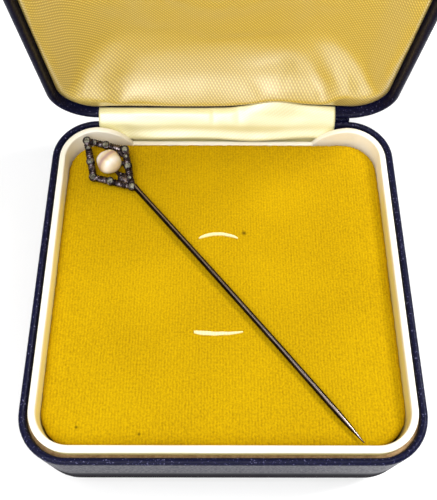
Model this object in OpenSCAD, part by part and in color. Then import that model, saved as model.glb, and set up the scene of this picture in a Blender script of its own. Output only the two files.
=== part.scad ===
// A stick pin lying in its open, hinged presentation box.
// Origin: centre of the box's underside. +Z is up, +Y runs to the hinge, +X is to the right.
// The lid is drawn shut and then swung open about the hinge line along the back rim.

/* [Box] */
// Outside width of the box, side to side
box_w = 66; // [60:1:90]
// Outside depth of the box, front to back
box_d = 66; // [60:1:90]
// Radius of the upright corners
corner_r = 8.4; // [7.6:0.1:11]
// Thickness of the covered walls
wall = 1.2; // [1:0.1:1.6]
// Height of the base, from the table to its rim
base_h = 20; // [16:0.5:28]
// Thickness of the base's floor
base_floor = 4; // [3.5:0.1:6]
// Rounding of the base's lower edge
base_edge_r = 6; // [2:0.1:6.5]
// Depth of the lid, from its rim to its top
lid_h = 14; // [12:0.5:20]
// Thickness of the lid's top
lid_roof = 1.5; // [1:0.1:2.5]
// Rounding of the lid's upper edge
lid_edge_r = 5; // [3:0.1:6]
// Gap between the two rims when the box is shut
rim_gap = 0.2; // [0.1:0.05:0.5]
// How far the lid is swung open
lid_open = 81.3; // [60:0.1:95]

/* [Collar and pad] */
// Gap between the wall and the collar at the front and sides
collar_gap = 0.55; // [0.3:0.05:0.8]
// Gap between the wall and the collar at the back, where the hinge cloth goes down
collar_back_gap = 1.2; // [1:0.05:1.6]
// Thickness of the collar
collar_t = 1.15; // [0.9:0.05:1.4]
// Outer radius of the collar's corners
collar_r = 7; // [6:0.1:8]
// How far the collar stands above the rim
collar_stand = 1; // [0.6:0.1:1.6]
// How far below the rim the collar is cut down at the back
collar_cut = 3.6; // [2.6:0.1:5]
// Width of the cut at its bottom
cut_w = 36; // [30:1:40]
// How far each shoulder of the cut runs out sideways
shoulder_run = 7; // [5:0.5:8]
// How far the pad lies below the rim
pad_drop = 2.1; // [1.5:0.1:3]
// Gap between the pad and the collar
pad_gap = 0.2; // [0.1:0.05:0.4]
// Further gap between the pad and the collar at the back
pad_back_gap = 0.6; // [0.2:0.1:1]
// Rounding of the pad's upper edge
pad_edge_r = 0.7; // [0.3:0.1:1]
// Gap under each piece that stands on the floor of the base
seat_gap = 0.15; // [0.12:0.01:0.3]

/* [Slits in the pad] */
// Length of the slit nearer to the hinge
slit_back_w = 7.2; // [5:0.1:10]
// How far that slit is bowed
slit_back_bow = 0.85; // [0.5:0.05:1.2]
// Length of the slit nearer to the front
slit_front_w = 8.5; // [5:0.1:10]
// How far that slit is bowed
slit_front_bow = 0.3; // [0.2:0.05:0.6]
// Distance from the pad's middle to the slit nearer to the hinge
slit_back_y = 8.4; // [5:0.1:12]
// Distance from the pad's middle to the slit nearer to the front
slit_front_y = 10.5; // [5:0.1:14]
// How far both slits lie to the left of the middle
slit_left = 0.8; // [0:0.1:3]
// Depth of each slit
slit_depth = 2.5; // [2:0.1:4]
// Thickness of the tape that edges each slit
tape_t = 0.5; // [0.4:0.05:0.7]
// How far the tape stands out of the pad
tape_stand = 0.15; // [0.1:0.05:0.3]
// Gap between the tape and the pad, on each side and under it
tape_gap = 0.05; // [0.03:0.01:0.1]

/* [Hinge cloth] */
// Width of the satin cloth across the hinge
cloth_w = 46.6; // [40:0.2:48]
// How far its middle lies to the left of the box's middle
cloth_left = 1.1; // [0:0.1:2]
// Thickness of the cloth with its backing
cloth_t = 0.4; // [0.3:0.05:0.5]
// How far the cloth goes down behind the collar
cloth_drop = 4; // [3:0.1:6]
// Gap between the cloth and what it hangs against
cloth_gap = 0.1; // [0.08:0.01:0.2]
// Radius of the covering where it folds along the hinge line
fold_r = 0.25; // [0.2:0.01:0.3]

/* [Lid lining] */
// How far inside the lid's rim the lining begins
lining_drop = 1.8; // [1.6:0.1:3]
// Gap between the lining and the lid
lining_gap = 0.15; // [0.1:0.01:0.3]
// Thickness of the lining at its mouth
lining_lip = 0.6; // [0.5:0.05:1]
// Thickness of the padding over the lid's top
lining_roof = 1.4; // [1:0.1:2]
// How far the lining's sides slope in from mouth to top
lining_slope = 7; // [4:0.5:9]
// Share of the hollow's depth over which its sides round into its top
lining_belly = 0.35; // [0.2:0.05:0.5]

/* [Pin] */
// Length of the lozenge between the centres of its end stones
head_len = 13.3; // [11:0.1:15]
// Width of the lozenge between the centres of its side stones
head_w = 8.1; // [7.6:0.1:9]
// Thickness of the lozenge's bars
bar_t = 0.85; // [0.7:0.05:1]
// Width of the lozenge's bars
bar_w = 1.05; // [0.9:0.05:1.2]
// How far the bars lie below the collets' rims
bar_drop = 0.12; // [0:0.02:0.2]
// Height of the collets round the stones
collet_h = 1.05; // [0.95:0.05:1.2]
// Wall of each collet
collet_wall = 0.27; // [0.22:0.01:0.32]
// Turn of the lozenge seen from above, clockwise from the box's right
head_yaw = 46.5; // [42:0.1:50]
// Fall of the lozenge towards the shaft
head_pitch = 5.2; // [0:0.1:6]
// Rise of the lozenge's right edge
head_roll = 10.1; // [0:0.1:11]
// Gap between the lozenge's outer end and the collar
head_clear = 0.55; // [0.2:0.05:0.7]
// Where round the collar's corner the outer end lies, from the box's right
head_corner_angle = 119; // [115:1:135]
// Gap between the pin and the pad under it
lay_gap = 0.3; // [0.2:0.05:0.4]
// Diameter of the shaft
shaft_d = 0.9; // [0.8:0.05:1.1]
// How far the shaft's neck lies beside the head's last collet, towards the right corner
shaft_side = 0.6; // [0:0.05:0.7]
// Length of the ground point
point_len = 6; // [4:0.5:10]
// Diameter of the blunted tip
tip_d = 0.16; // [0.12:0.02:0.3]
// Distance from the tip to the collar's right side
tip_in_x = 7.7; // [6:0.1:10]
// Distance from the tip to the collar's front side
tip_in_y = 0.65; // [0.5:0.05:2]

/* [Stones and pearl] */
// Radius of the larger stones
stone_r = 0.58; // [0.5:0.01:0.62]
// Gap between a stone and its collet
stone_gap = 0.04; // [0.03:0.01:0.06]
// Radius of the pearl
pearl_r = 2.4; // [2:0.05:2.5]
// Height of the pearl's middle above the collets
pearl_lift = 0.8; // [0.6:0.05:1]
// Gap between the pearl and its cup
pearl_gap = 0.04; // [0.03:0.01:0.06]
// Radius of the cup under the pearl
cup_r = 1.3; // [1:0.05:1.5]
// Thickness of the cup under the pearl's middle
cup_floor = 0.2; // [0.15:0.05:0.3]
// Radius of the peg that the pearl sits on
peg_r = 0.3; // [0.2:0.05:0.4]
// Length of the peg inside the pearl
peg_in = 1.1; // [0.8:0.1:1.4]

/* [Hidden] */
$fn = 48;
EPS = 0.01;

// Rows of the stones: the side they sit on, their share of that side from its first corner, and
// their size as a share of the larger stones. Side 0 runs from the outer end to the right
// corner, side 1 on to the shaft, side 2 to the left corner and side 3 back to the outer end.
SIDE = 0;
SHARE = 1;
SIZE = 2;
STONES = [
    [0, 0, 1], [0, 0.21, 0.62], [0, 0.5, 1],
    [1, 0, 1], [1, 0.19, 0.62], [1, 0.45, 1], [1, 0.77, 0.62],
    [2, 0, 1], [2, 0.56, 1],
    [3, 0, 1], [3, 0.42, 1], [3, 0.79, 0.62]
];
STONE_NODES = [for (i = [1:len(STONES)]) str("stone_", i)];

// The box
cavity_w = box_w - 2 * wall;
cavity_d = box_d - 2 * wall;
cavity_r = corner_r - wall;
base_inner_r = 1;
lid_inner_r = lid_edge_r - lid_roof;
hinge_out = 0.05;
hinge_y = box_d / 2 + hinge_out;
hinge_z = base_h + rim_gap / 2;
seat_z = base_floor + seat_gap;

// The collar
collar_w = cavity_w - 2 * collar_gap;
collar_front = -cavity_d / 2 + collar_gap;
collar_back = cavity_d / 2 - collar_back_gap;
collar_d = collar_back - collar_front;
collar_y = (collar_back + collar_front) / 2;
collar_top = base_h + collar_stand;
well_w = collar_w - 2 * collar_t;
well_front = collar_front + collar_t;
well_back = collar_back - collar_t;
well_r = collar_r - collar_t;

// The pad
pad_top = base_h - pad_drop;
pad_w = well_w - 2 * pad_gap;
pad_front = well_front + pad_gap;
pad_back = well_back - pad_gap - pad_back_gap;
pad_y = (pad_back + pad_front) / 2;

// The hinge cloth
cloth_y = cavity_d / 2 - cloth_gap - cloth_t;
cloth_top = base_h - 2 * cloth_gap;

// The lining
lid_rim_z = base_h + rim_gap;
lid_top_z = lid_rim_z + lid_h;
lining_w = cavity_w - 2 * lining_gap;
lining_d = cavity_d - 2 * lining_gap;
lining_r = cavity_r - lining_gap;
lining_top = lid_top_z - lid_roof - lining_gap;
lining_mouth = lid_rim_z + lining_drop;
hollow_top = lining_top - lining_roof;

// The pin's head, in its own frame: x to the shaft, y to the right corner, z up from the collets
half_len = head_len / 2;
half_w = head_w / 2;
CORNERS = [[-half_len, 0], [0, half_w], [half_len, 0], [0, -half_w]];
tilt = acos(cos(head_pitch) * cos(head_roll));
collet_r = stone_r + collet_wall;
bar_low = bar_drop + bar_t;
cup_low = pearl_r - pearl_lift + cup_floor;
corner_depth = half_w * sin(head_roll) + collet_h * cos(tilt) + collet_r * sin(tilt);
cup_depth = cup_low * cos(tilt) + cup_r * sin(tilt);
head_z = pad_top + lay_gap + max(corner_depth, cup_depth);
head_reach = well_r - head_clear - collet_r;
end_x = -well_w / 2 + well_r + head_reach * cos(head_corner_angle);
end_y = well_back - well_r + head_reach * sin(head_corner_angle);
head_x = end_x + half_len * cos(head_pitch) * cos(head_yaw);
head_y = end_y - half_len * cos(head_pitch) * sin(head_yaw);

// The shaft, from under the head's last collet to the tip
neck_low = collet_h - shaft_d / 2;
neck = [head_x, head_y, head_z] + turned([half_len, shaft_side, -neck_low]);
tip = [well_w / 2 - tip_in_x, well_front + tip_in_y, pad_top + lay_gap + shaft_d / 2];
run = tip - neck;
shaft_len = norm(run);

function corner(i) = CORNERS[i % len(CORNERS)];
function stone_spot(i) =
    let (row = STONES[i], a = corner(row[SIDE]), b = corner(row[SIDE] + 1))
    a + row[SHARE] * (b - a);
function stone_size(i) = STONES[i][SIZE] * stone_r;

// A point of the head's frame, rolled, pitched and turned into the box's frame
function rolled(p) =
    [p.x, p.y * cos(head_roll) - p.z * sin(head_roll), p.y * sin(head_roll) + p.z * cos(head_roll)];
function pitched(p) =
    [p.x * cos(head_pitch) + p.z * sin(head_pitch), p.y, p.z * cos(head_pitch) - p.x * sin(head_pitch)];
function yawed(p) =
    [p.x * cos(head_yaw) + p.y * sin(head_yaw), p.y * cos(head_yaw) - p.x * sin(head_yaw), p.z];
function turned(p) = yawed(pitched(rolled(p)));

// A rounded rectangle in plan
module plan(w, d, r) {
    square([w - 2 * r, d], center = true);
    square([w, d - 2 * r], center = true);
    for (x = [-1, 1], y = [-1, 1])
        translate([x * (w / 2 - r), y * (d / 2 - r)]) circle(r);
}

// Carries a profile round a rounded rectangle. The profile's x runs out from the corners' axes.
module round_the_plan(w, d, r) {
    for (k = [0:3]) {
        long = k % 2 == 0 ? d - 2 * r : w - 2 * r;
        reach = k % 2 == 0 ? w / 2 - r : d / 2 - r;
        rotate(90 * k) {
            translate([reach, long / 2]) rotate_extrude(angle = 90) children();
            translate([reach, long / 2]) rotate([90, 0, 0]) linear_extrude(long) children();
        }
    }
}

// A block with upright corners of radius r and its lower edge rounded by edge_r
module soft_block(w, d, h, r, edge_r) {
    round_the_plan(w, d, r) block_profile(r, h, edge_r);
    linear_extrude(h) square([w - 2 * r + EPS, d - 2 * r + EPS], center = true);
}

module block_profile(r, h, edge_r) {
    translate([0, edge_r]) square([r, h - edge_r]);
    square([r - edge_r, h]);
    intersection() {
        translate([r - edge_r, edge_r]) circle(edge_r);
        square([r, h]);
    }
}

// An open tray: the base stands on its floor, the lid is the same tray turned over
module tray(h, floor_t, edge_r, inner_r) {
    rim_r = wall / 2;
    difference() {
        soft_block(box_w, box_d, h - rim_r, corner_r, edge_r);
        translate([0, 0, floor_t]) soft_block(cavity_w, cavity_d, h, cavity_r, inner_r);
    }
    translate([0, 0, h - rim_r])
        round_the_plan(box_w, box_d, corner_r)
            translate([corner_r - rim_r, 0]) circle(rim_r);
}

// A turned-over piece, with its underside at z
module turned_over(z) {
    translate([0, 0, z]) mirror([0, 0, 1]) children();
}

module swing_open() {
    translate([0, hinge_y, hinge_z]) rotate([-lid_open, 0, 0])
        translate([0, -hinge_y, -hinge_z]) children();
}

module base_shell() {
    color("#15163a") tray(base_h, base_floor, base_edge_r, base_inner_r);
}

// Side view of what is cut from the collar at the back, with a round shoulder on each side
module shoulder_cut() {
    rise = collar_stand + collar_cut;
    half = cut_w / 2 + shoulder_run;
    bow_r = (shoulder_run * shoulder_run + rise * rise) / (2 * rise);
    difference() {
        translate([-half, 0]) square([2 * half, rise + EPS]);
        for (side = [-1, 1])
            translate([side * half, rise - bow_r]) circle(bow_r);
    }
}

module collar() {
    color("#fffdf0")
    translate([0, collar_y, 0])
        difference() {
            translate([0, 0, seat_z]) linear_extrude(collar_top - seat_z)
                plan(collar_w, collar_d, collar_r);
            translate([0, 0, base_floor]) linear_extrude(collar_top)
                plan(well_w, collar_d - 2 * collar_t, well_r);
            translate([0, collar_d / 2 + collar_gap, base_h - collar_cut]) rotate([90, 0, 0])
                linear_extrude(collar_r) shoulder_cut();
        }
}

// A bowed strip of width t and length w, its ends on the line y = 0 and its middle at y = bow
module bowed(w, bow, t) {
    r = (w * w / 4 + bow * bow) / (2 * bow);
    translate([0, bow - r]) intersection() {
        difference() {
            circle(r + t / 2);
            circle(r - t / 2);
        }
        translate([-w / 2, r - bow - t]) square([w, bow + 2 * t]);
    }
}

module back_slit(grow) {
    translate([-slit_left, slit_back_y - slit_back_bow])
        bowed(slit_back_w + 2 * grow, slit_back_bow, tape_t + 2 * grow);
}

module front_slit(grow) {
    translate([-slit_left, -slit_front_y - slit_front_bow])
        bowed(slit_front_w + 2 * grow, slit_front_bow, tape_t + 2 * grow);
}

module pad() {
    color("#e0b400") difference() {
        translate([0, pad_y, 0]) turned_over(pad_top)
            soft_block(pad_w, pad_back - pad_front, pad_top - seat_z, well_r, pad_edge_r);
        translate([0, 0, pad_top - slit_depth]) linear_extrude(slit_depth + 1) {
            back_slit(tape_gap);
            front_slit(tape_gap);
        }
    }
}

module slit_tape() {
    tape_h = slit_depth - tape_gap + tape_stand;
    color("#f3e6a8") translate([0, 0, pad_top + tape_stand - tape_h])
        linear_extrude(tape_h) children();
}

module cloth_band(z, h) {
    color("#fbf7c8") translate([-cloth_left - cloth_w / 2, cloth_y, z])
        cube([cloth_w, cloth_t, h]);
}

module hinge_cloth_base() {
    cloth_band(base_h - cloth_drop, cloth_drop - 2 * cloth_gap);
}

module hinge_cloth_lid() {
    swing_open() cloth_band(lid_rim_z + cloth_gap, lining_drop - 2 * cloth_gap);
}

module hinge_fold() {
    color("#15163a") translate([-cloth_left - cloth_w / 2, hinge_y, hinge_z])
        rotate([0, 90, 0]) cylinder(r = fold_r, h = cloth_w);
}

module lid_shell() {
    color("#15163a") swing_open() turned_over(lid_top_z)
        tray(lid_h, lid_roof, lid_edge_r, lid_inner_r);
}

module lid_lining() {
    mouth_w = lining_w - 2 * lining_lip;
    mouth_d = lining_d - 2 * lining_lip;
    mouth_r = lining_r - lining_lip;
    deep_w = mouth_w - 2 * lining_slope;
    deep_d = mouth_d - 2 * lining_slope;
    hollow_h = hollow_top - lining_mouth;
    color("#e6cf7f") swing_open() difference() {
        turned_over(lining_top)
            soft_block(lining_w, lining_d, lining_top - lining_mouth, lining_r, lid_inner_r);
        hull() {
            translate([0, 0, lining_mouth - EPS]) linear_extrude(EPS)
                plan(mouth_w, mouth_d, mouth_r, $fn = 32);
            translate([0, 0, hollow_top - lining_belly * hollow_h]) linear_extrude(EPS)
                plan(mouth_w - lining_slope, mouth_d - lining_slope, mouth_r, $fn = 32);
            translate([0, 0, hollow_top - EPS]) linear_extrude(EPS)
                plan(deep_w, deep_d, mouth_r, $fn = 32);
        }
    }
}

module head_place() {
    translate([head_x, head_y, head_z]) rotate([head_roll, head_pitch, -head_yaw]) children();
}

module bar(a, b) {
    way = b - a;
    translate([a.x, a.y, -bar_low]) rotate(atan2(way.y, way.x))
        translate([0, -bar_w / 2, 0]) cube([norm(way), bar_w, bar_t]);
}

module web(outline) {
    web_t = bar_t / 2;
    translate([0, 0, -bar_drop - bar_t / 2 - web_t / 2])
        linear_extrude(web_t) polygon(outline);
}

// The cup under the pearl, its peg, and the two arms that join it to the bars
module pearl_cup() {
    arm_w = 2 * peg_r;
    arm_low = cup_low - cup_floor;
    arm_t = arm_low - bar_low + bar_t / 4;
    to_bar = half_w * half_len / norm([half_w, half_len]);
    difference() {
        union() {
            translate([0, 0, -cup_low]) cylinder(r = cup_r, h = cup_floor + arm_t);
            translate([0, -arm_w / 2, -arm_low]) cube([half_len, arm_w, arm_t]);
            rotate(atan2(half_len, half_w)) translate([0, -arm_w / 2, -arm_low])
                cube([to_bar, arm_w, arm_t]);
        }
        translate([0, 0, pearl_lift]) sphere(pearl_r + pearl_gap);
    }
    translate([0, 0, -cup_low]) cylinder(r = peg_r, h = cup_floor + peg_in);
}

module frame_of_bars() {
    web_in = pearl_r + collet_r;
    top_in = pearl_r + pearl_gap;
    for (i = [0:3]) bar(corner(i), corner(i + 1));
    web([[half_len, 0], [web_in, half_w * (1 - web_in / half_len)],
         [web_in, -half_w * (1 - web_in / half_len)]]);
    web([[0, half_w], [half_len * (1 - top_in / half_w), top_in],
         [-half_len * (1 - top_in / half_w), top_in]]);
    for (i = [0:len(STONES) - 1])
        translate([stone_spot(i).x, stone_spot(i).y, -collet_h])
            cylinder(r = stone_size(i) + collet_wall, h = collet_h);
}

module shaft() {
    turn = [0, acos(run.z / shaft_len), atan2(run.y, run.x)];
    translate(neck) rotate(turn) {
        cylinder(d = shaft_d, h = shaft_len - point_len);
        translate([0, 0, shaft_len - point_len])
            cylinder(d1 = shaft_d, d2 = tip_d, h = point_len);
    }
}

module pin_mount() {
    color("#4a4547") {
        difference() {
            union() {
                head_place() {
                    frame_of_bars();
                    pearl_cup();
                }
                shaft();
            }
            head_place() for (i = [0:len(STONES) - 1])
                translate([stone_spot(i).x, stone_spot(i).y, -stone_size(i)])
                    cylinder(r = stone_size(i) + stone_gap, h = 2 * stone_size(i));
        }
    }
}

// A round stone with a table, eight crown facets and eight pavilion facets
module stone(i) {
    r = stone_size(i);
    crown = 0.4 * r;
    pavilion = 0.8 * r;
    color("#dfe3dc") head_place() translate([stone_spot(i).x, stone_spot(i).y, 0]) {
        cylinder(r1 = r, r2 = 0.55 * r, h = crown, $fn = 8);
        translate([0, 0, -pavilion]) cylinder(r1 = 0.12 * r, r2 = r, h = pavilion, $fn = 8);
    }
}

module pearl() {
    color("#f4e3d2") head_place() difference() {
        translate([0, 0, pearl_lift]) sphere(pearl_r);
        translate([0, 0, pearl_lift - pearl_r - 1])
            cylinder(r = peg_r + pearl_gap, h = 1 + peg_in + pearl_gap);
    }
}

base_shell();
collar();
pad();
slit_tape() back_slit(0);  // slit_tape_back
slit_tape() front_slit(0);  // slit_tape_front
hinge_cloth_base();
hinge_fold();
pin_mount();
pearl();
for (i = [0:len(STONES) - 1])
    stone(i);
lid_shell();
lid_lining();
hinge_cloth_lid();
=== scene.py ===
# %% [markdown]
# # A stick pin in its open presentation box
# A stick pin lies across a mustard velvet pad in a small square box. The box is covered in dark
# blue leatherette, has an ivory collar round its pad and a gold satin lining in its open lid.
# The hard parts come packed as a fixed frame, so this lesson dresses them: it gives every part
# its finish and models the soft and the fine pieces that a plain solid can't show.

# %% Load the frame
import math

import bmesh
import bpy
from mathutils import Matrix, Vector, noise


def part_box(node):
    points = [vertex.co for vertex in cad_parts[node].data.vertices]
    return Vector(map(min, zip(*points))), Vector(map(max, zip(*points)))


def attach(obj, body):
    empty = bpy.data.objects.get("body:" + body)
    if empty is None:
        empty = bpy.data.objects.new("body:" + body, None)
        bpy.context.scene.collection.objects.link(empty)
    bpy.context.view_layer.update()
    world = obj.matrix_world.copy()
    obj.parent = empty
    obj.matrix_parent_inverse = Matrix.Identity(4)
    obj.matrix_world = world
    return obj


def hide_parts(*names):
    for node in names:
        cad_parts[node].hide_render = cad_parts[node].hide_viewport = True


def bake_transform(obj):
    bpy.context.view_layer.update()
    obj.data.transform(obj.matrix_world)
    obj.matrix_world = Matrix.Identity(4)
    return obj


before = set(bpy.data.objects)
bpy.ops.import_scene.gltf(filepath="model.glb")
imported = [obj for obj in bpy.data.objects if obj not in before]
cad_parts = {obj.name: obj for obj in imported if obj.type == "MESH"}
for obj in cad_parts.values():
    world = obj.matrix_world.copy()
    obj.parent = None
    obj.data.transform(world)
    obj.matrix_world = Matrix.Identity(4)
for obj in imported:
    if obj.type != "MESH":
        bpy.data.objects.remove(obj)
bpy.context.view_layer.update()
MM = 0.001

# %% [markdown]
# ## The camera
# The photograph was taken from above and in front, close to the box, so its front looks much
# wider than its back. The camera stands at the measured place and is turned by three angles:
# how far it looks down, how far it is turned to the right, and how far it is rolled. A matrix
# built from its own three axes is the surest way to set all of them at once.

# %% Place the camera
look_down = math.radians(63.825)
look_right = math.radians(0.479)
roll = math.radians(0.578)
ahead = Vector((math.sin(look_right) * math.cos(look_down),
                math.cos(look_right) * math.cos(look_down), -math.sin(look_down)))
level_right = ahead.cross(Vector((0, 0, 1))).normalized()
level_up = level_right.cross(ahead)
cam_right = level_right * math.cos(roll) + level_up * math.sin(roll)
cam_up = level_up * math.cos(roll) - level_right * math.sin(roll)
camera = bpy.data.objects.new("camera", bpy.data.cameras.new("camera"))
stands_at = (-1.236 * MM, -48.39 * MM, 127.0 * MM)
turned_to = Matrix((cam_right, cam_up, -ahead)).transposed().to_4x4()
camera.matrix_world = Matrix.Translation(stands_at) @ turned_to
camera.data.sensor_width = 36
camera.data.lens = 47.738
camera.data.clip_start = 0.005
bpy.context.collection.objects.link(camera)
bpy.context.scene.camera = camera
print("camera height above the table, mm:", round(camera.location.z / MM, 1))

# %% [markdown]
# ## Table and light
# The box stands on a white table in a bright white room. A large soft light hangs above, a
# little in front and to the left. A smaller, brighter one at the right, like a window, puts the
# shine on the satin, and a weak one low in front opens the shadows. The colours are shown as
# they are, without a film curve, because the photograph's white is clean and flat.

# %% Lay the floor and hang the lights
bpy.context.scene.view_settings.view_transform = "Standard"
bm = bmesh.new()
bmesh.ops.create_grid(bm, x_segments=1, y_segments=1, size=1.5)
floor_mesh = bpy.data.meshes.new("floor")
bm.to_mesh(floor_mesh)
bm.free()
floor = bpy.data.objects.new("floor", floor_mesh)
bpy.context.collection.objects.link(floor)


def hang_light(name, place, aim, width, watts):
    """Hangs a square soft light at a place and turns it to face a point."""
    lamp = bpy.data.lights.new(name, "AREA")
    lamp.size = width
    lamp.energy = watts
    light = bpy.data.objects.new(name, lamp)
    light.location = place
    light.rotation_euler = (Vector(aim) - Vector(place)).to_track_quat("-Z", "Y").to_euler()
    bpy.context.collection.objects.link(light)


middle = (0, 0, 20 * MM)
hang_light("overhead_softbox", (-0.10, -0.20, 0.50), middle, 0.45, 2.8)
hang_light("window_right", (0.30, 0.09, 0.45), middle, 0.14, 1.95)
hang_light("low_fill", (-0.10, -0.55, 0.20), middle, 0.50, 0.78)
world = bpy.data.worlds.new("white_room")
world.use_nodes = True
room = world.node_tree.nodes["Background"]
room.inputs["Color"].default_value = (1, 1, 1, 1)
room.inputs["Strength"].default_value = 0.315
bpy.context.scene.world = world

# %% [markdown]
# ## How the finishes are written
# Every finish is a few shader nodes. One small function adds a node, sets its options and its
# sockets, and links the sockets that are given as another node and one of its outputs.
# Colours are written as they look on the screen and turned to linear light by one function.

# %% Helpers for the finishes
def linear(code):
    """The linear light colour of a screen colour such as #1a2b3c."""
    parts = [int(code[i:i + 2], 16) / 255 for i in (1, 3, 5)]
    return [p / 12.92 if p <= 0.04045 else ((p + 0.055) / 1.055) ** 2.4 for p in parts] + [1]


def add(material, kind, options=(), sockets=(), stops=()):
    """Adds a shader node. A socket's value may be (another node, its output) to link them."""
    made = material.node_tree.nodes.new("ShaderNode" + kind)
    for name, value in dict(options).items():
        setattr(made, name, value)
    for name, value in dict(sockets).items():
        if isinstance(value, tuple) and isinstance(value[0], bpy.types.Node):
            material.node_tree.links.new(value[0].outputs[value[1]], made.inputs[name])
        else:
            made.inputs[name].default_value = value
    for i, (place, code) in enumerate(stops):
        stop = made.color_ramp.elements[i] if i < 2 else made.color_ramp.elements.new(place)
        stop.position = place
        stop.color = linear(code)
    return made


def start(name):
    """A new material with an empty node tree and its output node."""
    material = bpy.data.materials.new(name)
    material.use_nodes = True
    material.node_tree.nodes.clear()
    return material


def close(material, surface):
    """Sends a surface shader to the material's output."""
    add(material, "OutputMaterial", {}, {"Surface": (surface, "BSDF")})
    print("finish", material.name, "nodes:", len(material.node_tree.nodes))
    return material


def cycles_per_metre(pitch_mm):
    """The scale at which a texture repeats about once every so many millimetres."""
    return 1 / (pitch_mm * MM)


def wave_scale(pitch_mm):
    """The scale of a Wave texture whose bands lie so many millimetres apart."""
    return math.tau / 20 / (pitch_mm * MM)


print("a screen grey of #808080 is linear", round(linear("#808080")[0], 3))

# %% [markdown]
# ## Table white
# Matt white card. It only has to be clean, so a faint mottle is all it carries.

# %% Finish the floor
table_white = start("matt_white_card")
coords = add(table_white, "TexCoord")
mottle = add(table_white, "TexNoise", {}, {
    "Vector": (coords, "Object"), "Scale": cycles_per_metre(25)})
tone = add(table_white, "ValToRGB", {}, {"Fac": (mottle, "Fac")},
           [(0.3, "#fcfcfc"), (0.7, "#fefefe")])
close(table_white, add(table_white, "BsdfPrincipled", {}, {
    "Base Color": (tone, "Color"), "Roughness": 0.8}))
floor.data.materials.append(table_white)

# %% [markdown]
# ## Navy leatherette
# The shell is card covered in leatherette: a coated paper pressed with a fine, close grain.
# To the eye it is nearly black, with a blue that shows where light grazes it. The scatter of pale
# specks along the rims is painted highlight: glints of the grain where the light catches it. A
# Voronoi texture gives the pressed grain, 0.45 mm from cell to cell. A finer noise gives the
# specks:
# it is lowered everywhere but in a band along each rim, so that little of it passes the mark where
# a speck starts. Down the walls the colour slowly turns nearly black and the finish dull: the dark
# is painted shade, standing for the shade under the rounded lower edge.

# %% Finish the leatherette
BASE_RIM_Z, LID_RIM_Y, RIM_REACH = 20.5 * MM, 34.5 * MM, 2.5 * MM
PAINTED_SHADE_FROM, PAINTED_SHADE_BELOW = 14.5 * MM, 7.5 * MM
leatherette = start("leatherette_pressed_navy")
coords = add(leatherette, "TexCoord")
grain = add(leatherette, "TexVoronoi", {"feature": "F1"}, {
    "Vector": (coords, "Object"), "Scale": cycles_per_metre(0.45)})
fine = add(leatherette, "TexNoise", {}, {
    "Vector": (coords, "Object"), "Scale": cycles_per_metre(0.3), "Detail": 3.0})
place = add(leatherette, "SeparateXYZ", {}, {"Vector": (coords, "Object")})
base_rim = add(leatherette, "Math", {"operation": "COMPARE"}, {
    0: (place, "Z"), 1: BASE_RIM_Z, 2: RIM_REACH})
lid_rim = add(leatherette, "Math", {"operation": "COMPARE"}, {
    0: (place, "Y"), 1: LID_RIM_Y, 2: RIM_REACH})
rims = add(leatherette, "Math", {"operation": "MAXIMUM"}, {
    0: (base_rim, "Value"), 1: (lid_rim, "Value")})
# The pale specks along the rims are painted highlight: glints of the grain where the light catches
# the rim crests.
rim_glint_weight = add(leatherette, "Math", {"operation": "MULTIPLY_ADD"}, {
    0: (rims, "Value"), 1: 0.16, 2: 0.84})
painted_rim_glints = add(leatherette, "Math", {"operation": "MULTIPLY"}, {
    0: (fine, "Fac"), 1: (rim_glint_weight, "Value")})
navy_with_painted_glints = add(leatherette, "ValToRGB", {}, {"Fac": (painted_rim_glints, "Value")},
             [(0.0, "#05061a"), (0.56, "#090a28"), (0.63, "#14153a"), (0.7, "#62617f")])
# Painted shade: low rises down the walls and turns the colour nearly black (#0d0a13), for the shade
# under the rounded lower edge; the finish also turns dull there.
low = add(leatherette, "MapRange", {"interpolation_type": "SMOOTHSTEP"}, {
    "Value": (place, "Z"), "From Min": PAINTED_SHADE_FROM, "From Max": PAINTED_SHADE_BELOW})
glints_and_painted_low_shade = add(leatherette, "Mix", {"data_type": "RGBA"}, {
    "Factor": (low, "Result"), 6: (navy_with_painted_glints, "Color"), 7: linear("#0d0a13")})
gloss = add(leatherette, "MapRange", {}, {
    "Value": (grain, "Distance"), "From Min": 0.0, "From Max": 0.7, "To Min": 0.24,
    "To Max": 0.46})
gloss_dulled_low = add(leatherette, "Math", {"operation": "MAXIMUM"}, {
    0: (gloss, "Result"), 1: (low, "Result")})
press = add(leatherette, "Bump", {}, {
    "Height": (grain, "Distance"), "Strength": 0.55, "Distance": 0.06 * MM})
close(leatherette, add(leatherette, "BsdfPrincipled", {}, {
    "Base Color": (glints_and_painted_low_shade, "Result"), "Roughness": (gloss_dulled_low, "Value"), "IOR": 1.5,
    "Specular IOR Level": 0.12, "Normal": (press, "Normal")}))

# %% [markdown]
# ## Ivory collar
# The collar is a strip of smooth ivory celluloid card. It is warm white with a soft gloss, its
# surface very slightly uneven, and a little yellower in patches where age has reached it. Below
# its top edge, except at the back, a yellow is painted in: painted reflection of the light that
# the velvet throws on it.

# %% Finish the collar
ivory = start("ivory_celluloid_card")
coords = add(ivory, "TexCoord")
age = add(ivory, "TexNoise", {}, {
    "Vector": (coords, "Object"), "Scale": cycles_per_metre(9), "Detail": 2.0})
tone = add(ivory, "ValToRGB", {}, {"Fac": (age, "Fac")}, [(0.35, "#f2ead4"), (0.65, "#fbf7ea")])
place = add(ivory, "SeparateXYZ", {}, {"Vector": (coords, "Object")})
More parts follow.
